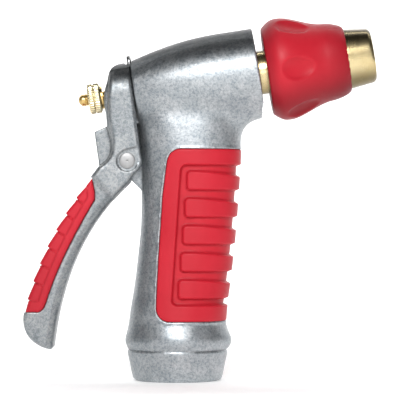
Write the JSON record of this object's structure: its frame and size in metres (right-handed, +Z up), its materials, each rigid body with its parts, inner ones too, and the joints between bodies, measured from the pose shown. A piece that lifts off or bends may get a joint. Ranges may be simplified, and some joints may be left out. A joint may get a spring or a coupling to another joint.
{
  "type": "hose spray nozzle",
  "caption": "Cast metal pistol hose nozzle with a rear squeeze trigger, red rubber grips, a flow nut and a brass twist nozzle.",
  "frame": {"origin": "centre of the hose inlet's mouth, on the plane that the base stands on", "axes": "+Z up along the handle, +X the way the water leaves, +Y across; the barrel tilts 8.9 degrees up towards +X"},
  "size_m": [0.1337, 0.0388, 0.1374],
  "materials": {
    "cast_metal": "tumbled cast, satin with darker mottling",
    "red_rubber": "satin moulded",
    "black_rubber": "matt",
    "polished_brass": "polished",
    "brass": "turned",
    "steel": "drawn wire and washers"
  },
  "bodies": {
    "body": {"body_casting": "cast_metal", "grip_insert": "red_rubber", "hose_washer": "black_rubber", "pivot_pin": "steel", "gland_bushing": "brass", "gland_washer": "brass", "stem_packing": "black_rubber", "nozzle_neck": "polished_brass", "neck_gasket": "black_rubber", "return_spring": "steel"},
    "trigger": {"trigger_lever": "cast_metal", "lever_pad": "red_rubber"},
    "stem": {"stem_rod": "brass", "spring_collar": "brass", "backing_washer": "steel", "valve_washer": "black_rubber"},
    "nut_washer": {"thrust_washer": "brass"},
    "nut": {"flow_nut": "polished_brass"},
    "clip": {"hold_open_clip": "steel"},
    "tip_seal": {"tip_o_ring": "black_rubber"},
    "twist_nozzle": {"brass_tip": "polished_brass", "twist_grip": "red_rubber", "grip_ring": "steel"}
  },
  "joints": [
    {"name": "trigger_pivot", "type": "hinge", "parent": "body", "child": "trigger", "pos_m": [-0.0188, 0, 0.0832], "axis": [0, -1, 0], "range_deg": [0, 16], "stiffness_Nm_per_rad": 2, "springref_deg": -5.73},
    {"name": "stem_slide", "type": "slide", "parent": "body", "child": "stem", "axis": [-0.988, 0, -0.1547], "range_m": [0, 0.0066], "deforming": ["return_spring"]},
    {"name": "nut_travel", "type": "slide", "parent": "stem", "child": "nut_washer", "axis": [-0.988, 0, -0.1547], "range_m": [0, 0.00238]},
    {"name": "nut_turn", "type": "hinge", "parent": "nut_washer", "child": "nut", "pos_m": [-0.03063, 0, 0.107], "axis": [-0.988, 0, -0.1547], "range_deg": [0, 1080]},
    {"name": "clip_slide", "type": "slide", "parent": "body", "child": "clip", "axis": [0.1547, 0, -0.988], "range_m": [0, 0.003]},
    {"name": "tip_travel", "type": "slide", "parent": "body", "child": "tip_seal", "axis": [0.988, 0, 0.1547], "range_m": [-0.002, 0.002]},
    {"name": "twist_turn", "type": "hinge", "parent": "tip_seal", "child": "twist_nozzle", "pos_m": [0.0494, 0, 0.11954], "axis": [0.988, 0, 0.1547], "range_deg": [-360, 360]}
  ],
  "couplings": [
    {"joint": "stem_slide", "follows": "trigger_pivot", "m_per_rad": 0.0232},
    {"joint": "nut_turn", "follows": "nut_travel", "rad_per_m": 7913.3},
    {"joint": "tip_travel", "follows": "twist_turn", "m_per_rad": 0.00031831}
  ]
}
